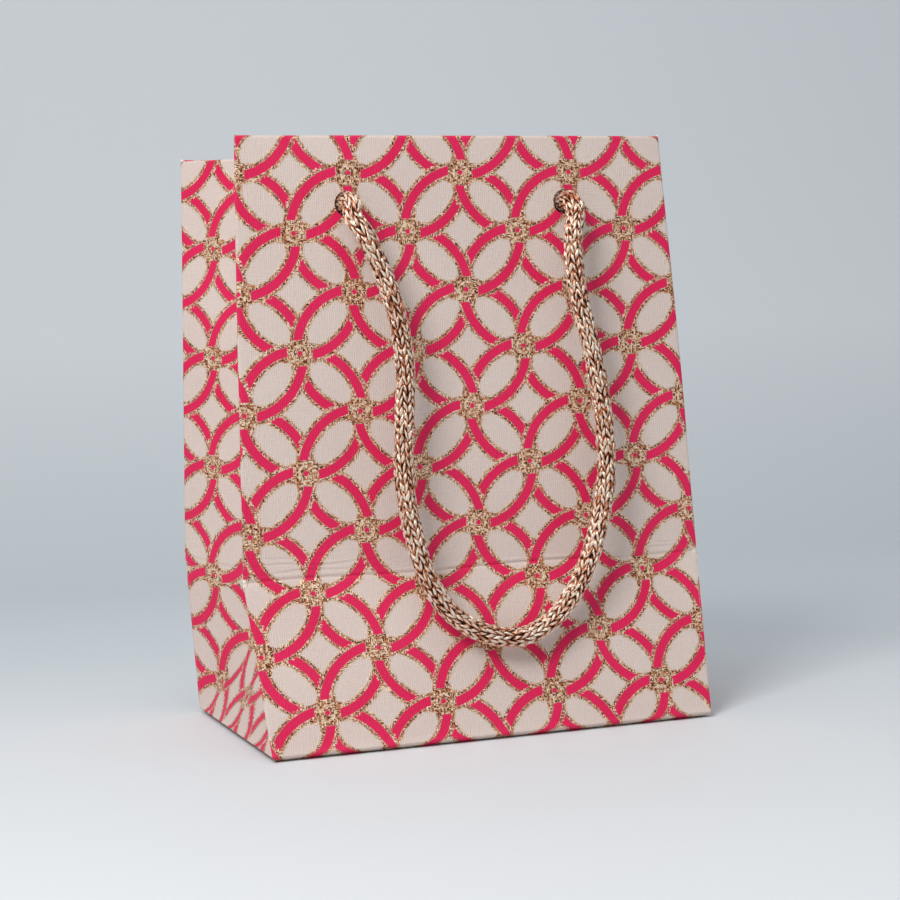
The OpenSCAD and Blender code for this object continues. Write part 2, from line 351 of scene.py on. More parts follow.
def print_shader():
    shader = Shader("printed linen paper", specular_ior_level=0.35)
    u, v = shader.uv("sheet")
    u, v = u / UV_PER_MM, v / UV_PER_MM
    height = linen(shader, u, v)

    # Glitter lies on single threads: long flakes, upright on the warp and level on the weft.
    short, long = THREAD * FLAKE_SHORT, THREAD * FLAKE_LONG
    upright_flake = shader.scatter(shader.vector(u / short, v / long))
    level_flake = shader.scatter(shader.vector(u / long, v / short, 3.5))
    on_warp = shader.noise(shader.vector(u, v, 9.0), 0.9, 1.0).above(0.5, 0.02)
    flake = on_warp.pick(level_flake, upright_flake)

    drift_x = shader.noise(shader.vector(u, v, 11.0), DRIFT_SCALE, 2.0) - 0.5
    drift_y = shader.noise(shader.vector(v, u, 5.0), DRIFT_SCALE, 2.0) - 0.5
    x = (u - COLUMN_0) / HALF_REPEAT + drift_x * DRIFT
    y = (v - ROW_0) / HALF_REPEAT + drift_y * DRIFT

    # p and q run from the nearest crossing, where neither the rings' centres nor the diamonds' lie.
    across, along = x + y, x - y
    near_across = ((across - 1.0) / 2.0).round() * 2.0 + 1.0
    near_along = ((along - 1.0) / 2.0).round() * 2.0 + 1.0
    p = (across - near_across + along - near_along) * 0.5
    q = (across - near_across - along + near_along) * 0.5
    column = (near_across + near_along) * 0.5
    swap = (column * 0.5 - (column * 0.5).floor()) * -4.0 + 1.0  # 1 in even columns, -1 in odd ones

    # On each arm of a crossing two rings run side by side, and one lies over the other.
    upright = (q.abs() - p.abs()).above(0.0, 0.0001)
    arm = upright.pick(p.abs(), q.abs())
    side = upright.pick(q * p.sign(), p * q.sign() * swap)
    over = ((side - 1.0).power(2.0) + arm * arm).sqrt()
    under = ((side + 1.0).power(2.0) + arm * arm).sqrt()
    over_off, under_off = (over - RING_R).abs(), (under - RING_R).abs()
    outer_edge = (flake - 0.5) * LINE_FRAY + (BAND_HALF + LINE_W)
    over_ring = (over_off - outer_edge).below(0.0, EDGE_SOFT)
    under_ring = (under_off - outer_edge).below(0.0, EDGE_SOFT)
    over_band = over_off.below(BAND_HALF, EDGE_SOFT)
    under_band = under_off.below(BAND_HALF, EDGE_SOFT) * (over_ring * -1.0 + 1.0)
    centre = (p * p + q * q).sqrt()
    knot = centre.below(KNOT_R, EDGE_SOFT)
    band = over_band.max(under_band) * arm.above(BAND_END, EDGE_SOFT)
    pink = band.max(centre.below(DOT_R, EDGE_SOFT))
    gold = over_ring.max(under_ring).max(knot) * (pink * -1.0 + 1.0)

    halo = (centre - HALO_R).abs().below(HALO_HALF, EDGE_SOFT)
    # painted glints and painted shade: each flake of glitter is painted from a dark facet to a near-white
    # glint, and raised threads a little lighter; the middle of the ramp is the ink's own gold
    glitter = (flake * 0.8 + height * 0.2 + halo * 0.25).clamp()
    gold_colour = shader.ramp(glitter, ((0.2, GOLD_FACET_SHADE), (0.4, GOLD), (0.54, GOLD), (0.7, GOLD_GLINT)))
    tone = shader.noise(shader.vector(u, v, 2.0), 0.05, 3.0)
    cream_colour = shader.mix(tone.above(0.5, 0.4), CREAM, CREAM_ROSY)
    # painted shade: the cream is darkened in the hollows between the embossed threads, where shade falls
    cream_colour = shader.mix(height.below(0.3, 0.6) * 0.55, cream_colour, CREAM_HOLLOW_SHADE)
    pink_colour = shader.mix(tone.above(0.5, 0.5), PINK, PINK_DEEP)
    ground = shader.mix(pink, cream_colour, pink_colour)
    shader.set("Base Color", shader.mix(gold, ground, gold_colour))
    shader.set("Metallic", gold * 0.4)
    shader.set("Roughness", gold * -0.25 + pink * -0.12 + (flake - 0.5) * gold * 0.2 + 0.62)
    shader.bump(height * 0.7 + gold * flake * 0.5, PRINT_RELIEF * MM)
    return shader.material


def plain_paper_shader():
    """The unprinted side of the same paper."""
    shader = Shader("plain linen paper", specular_ior_level=0.3)
    u, v = shader.uv("sheet")
    u, v = u / UV_PER_MM, v / UV_PER_MM
    height = linen(shader, u, v)
    cloud = shader.noise(shader.vector(u, v), 0.06, 4.0)
    shader.set("Base Color", shader.mix(cloud.above(0.5, 0.5), PAPER_PALE, PAPER_DULL))
    shader.set("Roughness", cloud * 0.1 + 0.7)
    shader.bump(height, PLAIN_RELIEF * MM, 0.6)
    return shader.material


def card_shader(name, light, dark):
    """Grey board: a pressed surface with short fibres."""
    shader = Shader(name, specular_ior_level=0.25)
    place = shader.place()
    fibre = shader.noise(place, 900.0, 5.0, 0.65)
    cloud = shader.noise(place, 60.0, 3.0)
    shader.set("Base Color", shader.mix((fibre * 0.6 + cloud * 0.4).above(0.5, 0.4), dark, light))
    shader.set("Roughness", fibre * 0.15 + 0.78)
    shader.bump(fibre, FIBRE_RELIEF * MM)
    return shader.material


def cord_shader():
    """Lurex: flat metallic filaments that each catch the light on their own; its colour carries painted
    glints on the filaments and painted shade in the gaps between stitches.
    """
    shader = Shader("rose gold braid")
    around, along = shader.uv("braid")
    depth, lean = shader.uv("relief")
    stitch = shader.scatter(shader.vector(around * 2.0, along))
    slanted = along + lean * STITCH_SLANT
    filament = shader.noise(shader.vector(around * 7.0, slanted * 1.2), 1.0, 3.0, 0.6)
    flash = shader.noise(shader.vector(around * 3.2, slanted * 1.6, 4.0), 1.0, 1.0)
    thread = shader.scatter(shader.vector(around * 9.0, slanted * 2.6))
    # painted shade and painted glints: low relief (depth) paints the gaps between stitches near black, and
    # the flash noise paints near-white glints on the filaments
    tone = (filament * 0.6 + stitch * 0.2 + flash * 0.55 + depth * 0.6 + thread * 0.22 - 0.65).clamp()
    colour = shader.ramp(tone, ((0.36, CORD_GAP_SHADE), (0.47, CORD_ROSE), (0.54, CORD_ROSE), (0.63, CORD_GLINT)))
    shader.set("Base Color", colour)
    shader.set("Metallic", flash * 0.2 + 0.55)
    shader.set("Roughness", filament * 0.3 + 0.2)
    shader.bump(filament + flash * 0.6 + thread * 0.3, CORD_RELIEF * MM)
    return shader.material


PRINTED = print_shader()
PLAIN = plain_paper_shader()
CUT_EDGE = card_shader("cut edge of the paper", EDGE_PALE, EDGE_DULL)
BOARD = card_shader("grey board", BOARD_PALE, BOARD_DULL)
BRAID = cord_shader()
PAPER = (PRINTED, PLAIN, CUT_EDGE)  # its outer face, its inner face and its edges


# ---------------------------------------------------------------- meshes


def add_uv(mesh, name, pairs):
    """A UV layer with one pair for each point of the mesh."""
    layer = mesh.uv_layers.new(name=name)
    corners = np.empty(len(mesh.loops), dtype=np.int32)
    mesh.loops.foreach_get("vertex_index", corners)
    layer.data.foreach_set("uv", np.asarray(pairs, dtype=np.float32)[corners].ravel())


def add_object(name, points, faces, materials, face_materials=None, uv_name=None, uvs=None, sharp=40.0):
    """A mesh object from points in millimetres, with one UV pair for each point."""
    mesh = bpy.data.meshes.new(name)
    mesh.from_pydata((np.asarray(points) * MM).tolist(), [], faces)
    for material in materials:
        mesh.materials.append(material)
    if face_materials is not None:
        mesh.polygons.foreach_set("material_index", np.asarray(face_materials, dtype=np.int32))
    if uvs is not None:
        add_uv(mesh, uv_name, uvs)
    mesh.polygons.foreach_set("use_smooth", np.ones(len(mesh.polygons), dtype=bool))
    mesh.set_sharp_from_angle(angle=math.radians(sharp))
    mesh.update()
    piece = bpy.data.objects.new(name, mesh)
    bpy.context.scene.collection.objects.link(piece)
    return piece


def unit(vectors):
    return vectors / np.linalg.norm(vectors, axis=-1, keepdims=True)


def shell(name, us, vs, place, sheet_uv, holes=(), thickness=PAPER_T, materials=PAPER):
    """A sheet of paper with both faces and its cut edges, from a grid on the flat sheet.

    place(u, v) gives the printed face, and holes are (u, v, radius) on the flat sheet."""
    u, v = (grid.astype(float) for grid in np.meshgrid(us, vs))
    rows, columns = u.shape
    kept = np.ones((rows - 1, columns - 1), dtype=bool)
    for hole_u, hole_v, radius in holes:
        middle_u = (u[:-1, :-1] + u[1:, 1:]) / 2
        middle_v = (v[:-1, :-1] + v[1:, 1:]) / 2
        cut = np.hypot(middle_u - hole_u, middle_v - hole_v) < radius
        kept &= ~cut
        inside = np.zeros_like(u, dtype=int)
        for i, j in ((0, 0), (0, 1), (1, 0), (1, 1)):
            inside[i : rows - 1 + i, j : columns - 1 + j] += cut
        rim = (inside > 0) & (inside < 4)
        reach = np.hypot(u - hole_u, v - hole_v)
        u[rim] = hole_u + (u[rim] - hole_u) * radius / reach[rim]
        v[rim] = hole_v + (v[rim] - hole_v) * radius / reach[rim]
    outer = place(u, v)
    normal = unit(np.cross(np.gradient(outer, axis=1), np.gradient(outer, axis=0)))
    inner = outer - normal * thickness
    index = np.arange(rows * columns).reshape(rows, columns)
    quads = np.stack([index[:-1, :-1], index[:-1, 1:], index[1:, 1:], index[1:, :-1]], axis=-1)[kept]
    count = rows * columns
    edges = np.concatenate([quads[:, [k, (k + 1) % 4]] for k in range(4)])
    keys = set(map(tuple, edges.tolist()))
    rim_quads = [(b, a, a + count, b + count) for a, b in keys if (b, a) not in keys]
    faces = quads.tolist() + (quads[:, ::-1] + count).tolist() + sorted(rim_quads)
    slots = [0] * len(quads) + [1] * len(quads) + [2] * len(rim_quads)
    uv_u, uv_v = sheet_uv(u, v)
    uvs = np.stack([uv_u.ravel(), uv_v.ravel()], axis=-1) * UV_PER_MM
    points = np.concatenate([outer.reshape(-1, 3), inner.reshape(-1, 3)])
    used = np.zeros(2 * count, dtype=bool)
    used[np.concatenate([np.ravel(f) for f in faces])] = True
    renumber = np.cumsum(used) - 1
    faces = [[int(renumber[i]) for i in face] for face in faces]
    return add_object(
        name, points[used], faces, materials, slots, "sheet", np.concatenate([uvs, uvs])[used],
    )


# ---------------------------------------------------------------- the folded sheet

front_crease_at = joint("front_panel_fold")
back_crease_at = joint("back_panel_fold")
board_low, board_high = (np.array(c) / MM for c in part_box("base_board"))
front_foot_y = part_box("front_band")[0][1] / MM
back_foot_y = board_low[1] + board_high[1] - front_foot_y
front_mouth_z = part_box("front_panel")[1][2] / MM
back_mouth_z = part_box("back_panel")[1][2] / MM
front_mouth_y = front_crease_at[1] + math.sqrt(PANEL_H**2 - (front_mouth_z - front_crease_at[2]) ** 2)
back_mouth_y = back_crease_at[1] - math.sqrt(PANEL_H**2 - (back_mouth_z - back_crease_at[2]) ** 2)

MIDDLE_U = FOLD_U + GUSSET_W / 2
BACK_U = FOLD_U + GUSSET_W
HALF_ROUND = BACK_U + FOLD_U
OVERLAP = 1.0  # the front and back reach this far round their corners

# Corners of the bag's right side, on the printed face.
FRONT_FOOT = np.array([FRONT_W / 2, front_foot_y, 0.0])
BACK_FOOT = np.array([FRONT_W / 2, back_foot_y, 0.0])
FRONT_CREASE = np.array([CREASE_W / 2, front_crease_at[1], front_crease_at[2]])
BACK_CREASE = np.array([CREASE_W / 2, back_crease_at[1], back_crease_at[2]])
FRONT_MOUTH = np.array([MOUTH_W / 2, front_mouth_y, front_mouth_z])
BACK_MOUTH = np.array([MOUTH_W / 2, back_mouth_y, back_mouth_z])
FOLD_START = np.array([CREASE_W / 2 - START_FOLD_IN, START_FOLD_Y, START_FOLD_Z])
FOLD_MOUTH = np.array([
    MOUTH_W / 2 - MOUTH_FOLD_IN, (front_mouth_y + back_mouth_y) / 2, front_mouth_z - MOUTH_FOLD_DROP,
])

FOOT_LIFT = 1.1  # the base folds stand this far off the floor, and the flaps between them touch it
FOOT_REACH = 1.6  # the sheet comes down to the floor within this distance of a base fold
BULGE_RIGHT = 2.3
BULGE_LEFT = 0.8


def pushed_out(side, v):
    """How far the front corner of each side bulges beyond its straight line, most at the crease."""
    share = np.where(v > BAND_H, 1 - (v - BAND_H) / PANEL_H, np.clip(v / BAND_H, 0, 1))
    return np.where(side > 0, BULGE_RIGHT, BULGE_LEFT) * np.clip(share, 0, 1)


def between(a, b, t):
    return a + (b - a) * t[..., None]


def from_front(u):
    """How far round the bag u lies from the middle of the front, negative to the left."""
    return (u + HALF_ROUND) % (2 * HALF_ROUND) - HALF_ROUND


def creased(u, v):
    """The sheet with knife-sharp folds.

    u runs round the bag from the middle of the front, and v runs up from the base fold."""
    u = from_front(u)
    side, u = np.where(u < 0, -1.0, 1.0), np.abs(u)
    low, high = np.clip(v / BAND_H, 0, 1), (v - BAND_H) / PANEL_H
    upper = (v > BAND_H)[..., None]

    def corner(foot, crease, mouth):
        return np.where(upper, between(crease, mouth, high), between(foot, crease, low))

    front = corner(FRONT_FOOT, FRONT_CREASE, FRONT_MOUTH)
    front[..., 0] += pushed_out(side, v)
    back = corner(BACK_FOOT, BACK_CREASE, BACK_MOUTH)
    fold_front = corner(FRONT_FOOT, FOLD_START, FOLD_MOUTH)
    fold_back = corner(BACK_FOOT, FOLD_START, FOLD_MOUTH)
    reach = low * GUSSET_W / 2
    stops = [np.full_like(u, 0.0), np.full_like(u, FOLD_U), FOLD_U + reach]
    stops += [BACK_U - reach, np.full_like(u, BACK_U), np.full_like(u, HALF_ROUND)]
    centred = np.array([0.0, 1.0, 1.0])
    knots = [front * centred, front, fold_front, fold_back, back, back * centred]
    point = np.zeros(u.shape + (3,))
    for k in range(len(knots) - 1):
        width = np.maximum(stops[k + 1] - stops[k], 1e-6)
        t = (u - stops[k]) / width
        on = (u >= stops[k]) & (u <= stops[k + 1])
        point = np.where(on[..., None], between(knots[k], knots[k + 1], t), point)
    under = np.maximum(-v, 0.0)[..., None]  # below the base fold the sheet turns in under the bag
    centre = np.array([0.0, (front_foot_y + back_foot_y) / 2, 0.0])
    inward = np.sign(centre - point) * np.array([1.0, 1.0, 0.0])
    on_side = (u > FOLD_U) & (u < BACK_U)
    point = point + inward * np.stack([on_side, ~on_side, np.zeros_like(on_side)], -1) * under
    point[..., 2] += FOOT_LIFT * np.exp(-((v / FOOT_REACH) ** 2))
    point[..., 0] *= side
    return point


ROUNDING = 0.9  # folds are blurred over this much of the sheet either way
KERNEL = ((-1.0, 0.1), (-0.5, 0.24), (0.0, 0.32), (0.5, 0.24), (1.0, 0.1))


def folded(u, v):
    """The sheet with folds as round as paper makes them."""
    total = 0.0
    for du, wu in KERNEL:
        for dv, wv in KERNEL:
            total = total + creased(u + du * ROUNDING, v + dv * ROUNDING) * (wu * wv)
    return total


SLOPE_STEP = 0.4


def outward(u, v):
    """The direction that the printed face looks in."""
    along_u = folded(u + SLOPE_STEP, v) - folded(u - SLOPE_STEP, v)
    along_v = folded(u, v + SLOPE_STEP) - folded(u, v - SLOPE_STEP)
    return unit(np.cross(along_u, along_v))


def bell(x, width):
    return np.exp(-((x / width) ** 2))


BUCKLE = 0.22
RIPPLE = 0.1
STEADY_H = 8.0  # the base holds the paper flat below this height
SIDE_SHARE = 0.35  # the side folds are this much as uneven as the front and back
GROOVE = 0.3
GROOVE_LIP = 0.1
WRINKLES_LEFT = 40.0
WRINKLES_RIGHT = 44.0
WRINKLES = ((1.9, 0.010, 0.13), (3.4, -0.018, 0.16), (5.4, 0.03, 0.07))  # height, slope and depth
PINCH = 0.45
PINCH_R = 1.6


def dents(u, v):
    """How far the paper stands proud of flat, in millimetres."""
    round_u = from_front(u)
    flat_u = np.abs(round_u)
    share = np.where((flat_u < FOLD_U) | (flat_u > BACK_U), 1.0, SIDE_SHARE)
    rise = BUCKLE * np.sin(u * 0.055 + 1.3) * np.sin(v * 0.043 + 0.4)
    rise = rise + RIPPLE * np.sin(u * 0.13 + v * 0.06 + 2.0)
    rise = rise * np.clip(v / STEADY_H, 0, 1)
    above = v - BAND_H - 0.25 * np.sin(u * 0.11)
    groove = GROOVE_LIP * bell(above - 0.8, 0.4) - GROOVE * bell(above, 0.3)
    near = bell(round_u + WRINKLES_LEFT, 13.0) + 0.6 * bell(round_u - WRINKLES_RIGHT, 9.0)
    wrinkle = 0.0
    for height, slope, depth in WRINKLES:
        line = BAND_H + height + slope * (round_u + WRINKLES_LEFT) + 0.3 * np.sin(u * 0.31 + height)
        wrinkle = wrinkle - depth * bell(v - line, 0.22) + 0.6 * depth * bell(v - line - 0.5, 0.25)
    pinch = PINCH * bell(np.hypot(flat_u - FOLD_U, (v - BAND_H) * 1.8), PINCH_R)
    return (rise + groove) * share + wrinkle * near - pinch


def wall(u, v):
    return folded(u, v) + outward(u, v) * dents(u, v)[..., None]


HEM_SETTLE = 3.0  # the hem narrows over this much paper


def over_mouth(rounding, narrowing, centre_u):
    """Places the sheet up the outside of a wall, over its mouth and down inside as the turned-in hem.

    rounding is the radius of the turn, and narrowing the share that the hem closes in on centre_u."""
    arc = PI * rounding

    def place(u, v):
        past = np.maximum(v - SHEET_H, 0.0)
        turn = np.minimum(past, arc) / rounding
        down = np.maximum(past - arc, 0.0)
        squeeze = 1.0 - narrowing * np.clip(past / HEM_SETTLE, 0, 1)
        u = centre_u + (u - centre_u) * squeeze
        level = np.where(past > 0, SHEET_H - down, v)
        normal = outward(u, level)
        up = unit(folded(u, level + SLOPE_STEP) - folded(u, level - SLOPE_STEP))
        lift = (rounding * np.sin(turn))[..., None]
        inset = (rounding * (1 - np.cos(turn)))[..., None]
        return wall(u, level) + up * lift - normal * inset

    return place


def sheet_uv(u, v):
    """Where a point of the folded sheet lies on the print, which keeps its scale across the front."""
    round_u = from_front(u)
    flat_u = np.abs(round_u)
    half = np.interp(v, [0.0, BAND_H, SHEET_H], [FRONT_W / 2, CREASE_W / 2, MOUTH_W / 2])
    half = half + pushed_out(round_u, v)
    on_front = flat_u * half / FOLD_U
    on_gusset = half + (flat_u - FOLD_U) * (MIDDLE_U - half) / (MIDDLE_U - FOLD_U)
    printed = np.where(flat_u < FOLD_U, on_front, np.where(flat_u < MIDDLE_U, on_gusset, flat_u))
    printed = printed * np.where(round_u < 0, -1.0, 1.0)
    # The sheet ends at the right of the back, so the back's print carries on from the left side's.
    on_back_right = (round_u > 0) & (flat_u >= BACK_U - OVERLAP - 0.01)
    return np.where(on_back_right, round_u - 2 * HALF_ROUND, printed), v


def stations(start, end, pitch, fine=(), fine_pitch=0.3, fine_reach=1.5):
    """Grid lines from start to end, closer together near each fold in fine."""
    marks = set(np.round(np.linspace(start, end, max(2, int(round((end - start) / pitch)) + 1)), 3))
    for middle in fine:
        marks |= set(np.round(np.arange(middle - fine_reach, middle + fine_reach + 1e-6, fine_pitch), 3))
    marks = sorted(m for m in marks if start <= m <= end)
    kept = [marks[0]]
    for mark in marks[1:]:
        if mark - kept[-1] > fine_pitch * 0.45 or mark == end:
            kept.append(mark)
    return np.array(kept)


TURN_UNDER = 0.6  # the walls end this far round the base fold
FRONT_ROUND = (2 * PAPER_T + STRIP_T) / 2
SIDE_ROUND = 0.5
FRONT_HEM_IN = 3.6
SIDE_HEM_IN = 3.2
FOLD_PITCH = 0.35
CREASE_PITCH = 0.2
BELOW_CREASE = 3.0  # the grid is finer from here
ABOVE_CREASE = 7.0  # to here


def bend_at(piece):
    """Bakes a piece's placement into its mesh."""
    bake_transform(piece)


def crease_stations(start, end, pitch, fine_pitch, feet=(), mouths=()):
    """Grid lines up a wall, closest at its crease."""
    return np.concatenate([
        stations(start, BAND_H - BELOW_CREASE, pitch, feet, FOLD_PITCH),
        stations(BAND_H - BELOW_CREASE + 0.3, BAND_H + ABOVE_CREASE, fine_pitch),
        stations(BAND_H + ABOVE_CREASE + 1.0, end, pitch, mouths, FOLD_PITCH),
    ])


def mouth_stations(rounding):
    """Grid lines over the mouth and down the hem."""
    arc = PI * rounding
    over = SHEET_H + np.linspace(0, arc, 9)[1:]
    inside = SHEET_H + arc + np.linspace(0, HEM_H, 25)[1:]
    return np.concatenate([over, inside])


def panel_sheet(name, centre_u, nodes):
    """The front or back: its band, panel and hem in one, bending at the crease, with both holes."""
    half = FOLD_U + OVERLAP
    us = stations(centre_u - half, centre_u + half, 1.0, (centre_u - FOLD_U, centre_u + FOLD_U), FOLD_PITCH)
    up_wall = crease_stations(-TURN_UNDER, SHEET_H, 1.0, CREASE_PITCH, (0.0,), (SHEET_H,))
    vs = np.concatenate([up_wall, mouth_stations(FRONT_ROUND)])
    squeeze = FRONT_HEM_IN / half
    inside_v = SHEET_H + PI * FRONT_ROUND + HOLE_DROP
    holes = [(centre_u + s * HOLE_X, SHEET_H - HOLE_DROP, HOLE_D / 2) for s in (-1, 1)]
    holes += [(centre_u + s * HOLE_X / (1 - squeeze), inside_v, HOLE_D / 2) for s in (-1, 1)]
    piece = shell(name, us, vs, over_mouth(FRONT_ROUND, squeeze, centre_u), sheet_uv, holes)
    bend_at(piece)
    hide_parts(*nodes)


def gusset_sheet(name, start_u, end_u, squeeze_to, mouth_y, nodes):
    """The upper half of a side fold, up from the crease, over the mouth and down inside as its hem."""
    folds = (start_u, end_u)
    us = stations(start_u, end_u, 1.3, folds, FOLD_PITCH)
    up_wall = stations(BAND_H, SHEET_H, 1.3, (BAND_H, SHEET_H), FOLD_PITCH)
    vs = np.concatenate([up_wall, mouth_stations(SIDE_ROUND)])
    squeeze = SIDE_HEM_IN / abs(end_u - start_u)
    piece = shell(name, us, vs, over_mouth(SIDE_ROUND, squeeze, squeeze_to), sheet_uv)
    still_y = FOLD_START[1] if mouth_y < 0 else FOLD_MOUTH[1]
    still_y * MM
    mouth_y * MM
    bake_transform(piece)
    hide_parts(*nodes)


def gusset_foot(name, side, nodes):
    """The two wings and the triangle at the foot of a side fold, creased along its diagonals."""
    us = stations(FOLD_U + OVERLAP, BACK_U - OVERLAP, 0.8) * side
    vs = stations(-TURN_UNDER, BAND_H, 0.8, (0.0, BAND_H), FOLD_PITCH)
    piece = shell(name, us[::side], vs, wall, sheet_uv)
    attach(piece, "bag")
    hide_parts(*nodes)


# ---------------------------------------------------------------- cords

# Middle lines of the two handles, as in the CAD, in metres.
FRONT_ROUTE = [
    (-0.028, -0.034, 0.128), (-0.0255, -0.0345, 0.119), (-0.0215, -0.035, 0.109), (-0.019, -0.0355, 0.099),
    (-0.018, -0.036, 0.089), (-0.0185, -0.036, 0.079), (-0.0195, -0.0365, 0.069), (-0.0195, -0.037, 0.059),
    (-0.018, -0.0375, 0.049), (-0.0155, -0.038, 0.0395), (-0.0105, -0.0385, 0.031), (-0.003, -0.039, 0.0255),
    (0.006, -0.0395, 0.0235), (0.014, -0.039, 0.026), (0.0205, -0.0385, 0.032), (0.0255, -0.038, 0.040),
    (0.029, -0.0375, 0.049), (0.0315, -0.037, 0.059), (0.032, -0.0365, 0.069), (0.0315, -0.036, 0.079),
    (0.030, -0.036, 0.089), (0.028, -0.0355, 0.099), (0.0265, -0.035, 0.109), (0.0265, -0.0345, 0.119),
    (0.028, -0.034, 0.128),
]
BACK_ROUTE = [
    (0.028, 0.0445, 0.129), (0.026, 0.0445, 0.120), (0.023, 0.045, 0.110), (0.021, 0.0455, 0.100),
    (0.020, 0.046, 0.090), (0.020, 0.046, 0.080), (0.0205, 0.046, 0.070), (0.0205, 0.046, 0.060),
    (0.019, 0.046, 0.050), (0.016, 0.046, 0.041), (0.0105, 0.046, 0.033), (0.003, 0.046, 0.028),
    (-0.006, 0.046, 0.0265), (-0.014, 0.046, 0.029), (-0.0205, 0.046, 0.035), (-0.025, 0.046, 0.043),
    (-0.028, 0.046, 0.052), (-0.030, 0.046, 0.062), (-0.0305, 0.046, 0.072), (-0.030, 0.046, 0.082),
    (-0.029, 0.046, 0.092), (-0.0275, 0.0455, 0.102), (-0.0265, 0.045, 0.111), (-0.027, 0.0445, 0.120),
    (-0.028, 0.0445, 0.129),
]

STITCH_COLUMNS = 6
STITCH_PITCH = 2.2
CORD_SIDES = 84
CORD_STEP = 0.27
CROWN = 0.96  # the tops of the stitches, as a share of the cord's radius
RELIEF = 0.32  # and how far the gaps between them lie below that
TWIST_PITCH = 180.0  # the braid turns once round the cord in this length


def smooth_path(points, step):
    """An even polyline along a Catmull-Rom curve through the points."""
    points = np.asarray(points, dtype=float)
    ends = np.concatenate([[2 * points[0] - points[1]], points, [2 * points[-1] - points[-2]]])
    t = np.linspace(0, 1, 24, endpoint=False)[:, None]
    dense = []
    for a, b, c, d in zip(ends[:-3], ends[1:-2], ends[2:-1], ends[3:]):
        square, cube = 2 * a - 5 * b + 4 * c - d, 3 * b - a - 3 * c + d
        dense.append(0.5 * (2 * b + (c - a) * t + square * t**2 + cube * t**3))
    dense = np.concatenate(dense + [points[-1:]])
    run = np.concatenate([[0.0], np.cumsum(np.linalg.norm(np.diff(dense, axis=0), axis=1))])
    marks = np.linspace(0, run[-1], int(run[-1] / step) + 1)
    return np.stack([np.interp(marks, run, dense[:, k]) for k in range(3)], axis=-1), marks


def braid_height(around, along):
    """The relief of the braid: columns of V stitches, whose two plump legs dive under the next stitch."""
    column = around * STITCH_COLUMNS
    across = (column - np.floor(column)) * 2 - 1
    stagger = np.where(np.floor(column) % 2 < 1, 0.0, 0.5)
    lean = np.abs(across)
    phase = along / STITCH_PITCH + lean * STITCH_SLANT + stagger
    leg = (phase - np.floor(phase)) * 2 - 1
    plump = np.sqrt(np.clip(1 - leg**2, 0, 1))
    width = np.sqrt(np.clip(1 - (lean * 2 - 1) ** 2, 0, 1))
    return plump * (0.3 + 0.7 * width), lean


def braided_cord(name, points, diameter):
    """A braided tube along the points, all in millimetres. Returns the piece and its middle line."""
    path, run = smooth_path(points, CORD_STEP)
    tangent = unit(np.gradient(path, axis=0))
    side = np.empty_like(path)
    side[0] = unit(np.cross(tangent[0], [0.0, 0.2, 1.0]))
    for k in range(1, len(path)):
        side[k] = unit(side[k - 1] - tangent[k] * np.dot(side[k - 1], tangent[k]))
    other = np.cross(tangent, side)
    around = np.arange(CORD_SIDES) / CORD_SIDES
    twist = run[:, None] / TWIST_PITCH
    height, lean = braid_height((around[None, :] + twist) % 1.0, run[:, None])
    swell = 1 + 0.02 * np.sin(run * 0.45) + 0.015 * np.sin(run * 1.1 + 1)
    radius = diameter / 2 * (CROWN - RELIEF * (1 - height)) * swell[:, None]
    angle = 2 * PI * around
    ring = side[:, None] * np.cos(angle)[None, :, None] + other[:, None] * np.sin(angle)[None, :, None]
    points = (path[:, None] + ring * radius[..., None]).reshape(-1, 3)
    count = len(path)
    index = np.arange(count * CORD_SIDES).reshape(count, CORD_SIDES)
    turned = np.roll(index, -1, axis=1)
    quads = np.stack([index[:-1], turned[:-1], turned[1:], index[1:]], axis=-1).reshape(-1, 4)
    faces = quads.tolist() + [index[0, ::-1].tolist(), index[-1].tolist()]
    uvs = np.stack(np.broadcast_arrays(around[None, :] * STITCH_COLUMNS, run[:, None] / STITCH_PITCH), -1)
    piece = add_object(name, points, faces, [BRAID], None, "braid", uvs.reshape(-1, 2), sharp=80.0)
    add_uv(piece.data, "relief", np.stack([height, lean], -1).reshape(-1, 2))
    return piece, path


UP = np.array([0.0, 0.0, 1.0])

# The end of a handle, as (how far behind the bend, how far below it) from its knot outward.
THROUGH_HOLE = ((9.6, 0.0), (8.0, 0.0), (6.2, 0.0), (4.4, 0.0), (2.3, 1.4), (1.1, 4.2))


def handle(name, route, face_sign, nodes):
    """A handle from one knot out through its hole, round the loop and back in to the other knot."""
    loop = np.array(route) / MM
    out = np.array([0.0, face_sign, 0.0])
    first, last = loop[0], loop[-1]
    start = [first - out * depth - UP * drop for depth, drop in THROUGH_HOLE]
    end = [last - out * depth - UP * drop for depth, drop in reversed(THROUGH_HOLE)]
    piece, path = braided_cord(name, start + list(loop[1:-1]) + end, CORD_D)
    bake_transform(piece)
    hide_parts(*nodes)


KNOT_DEPTH = 14.2  # from the bend to the middle of the knot
KNOT_SIZE = 1.15
KNOT_CORD_D = 4.2
KNOT_OPEN = 0.5  # where the trefoil is cut to lead in and out, in radians of its turn
KNOT_POINTS = 40
KNOT_LEAD = ((5.2, 0.0, 0.0), (4.0, 0.0, 0.9))  # out, across and up from its middle
KNOT_TAIL = ((1.6, 2.2, -4.6), (0.6, 3.0, -7.6), (-0.2, 3.2, -11.0))


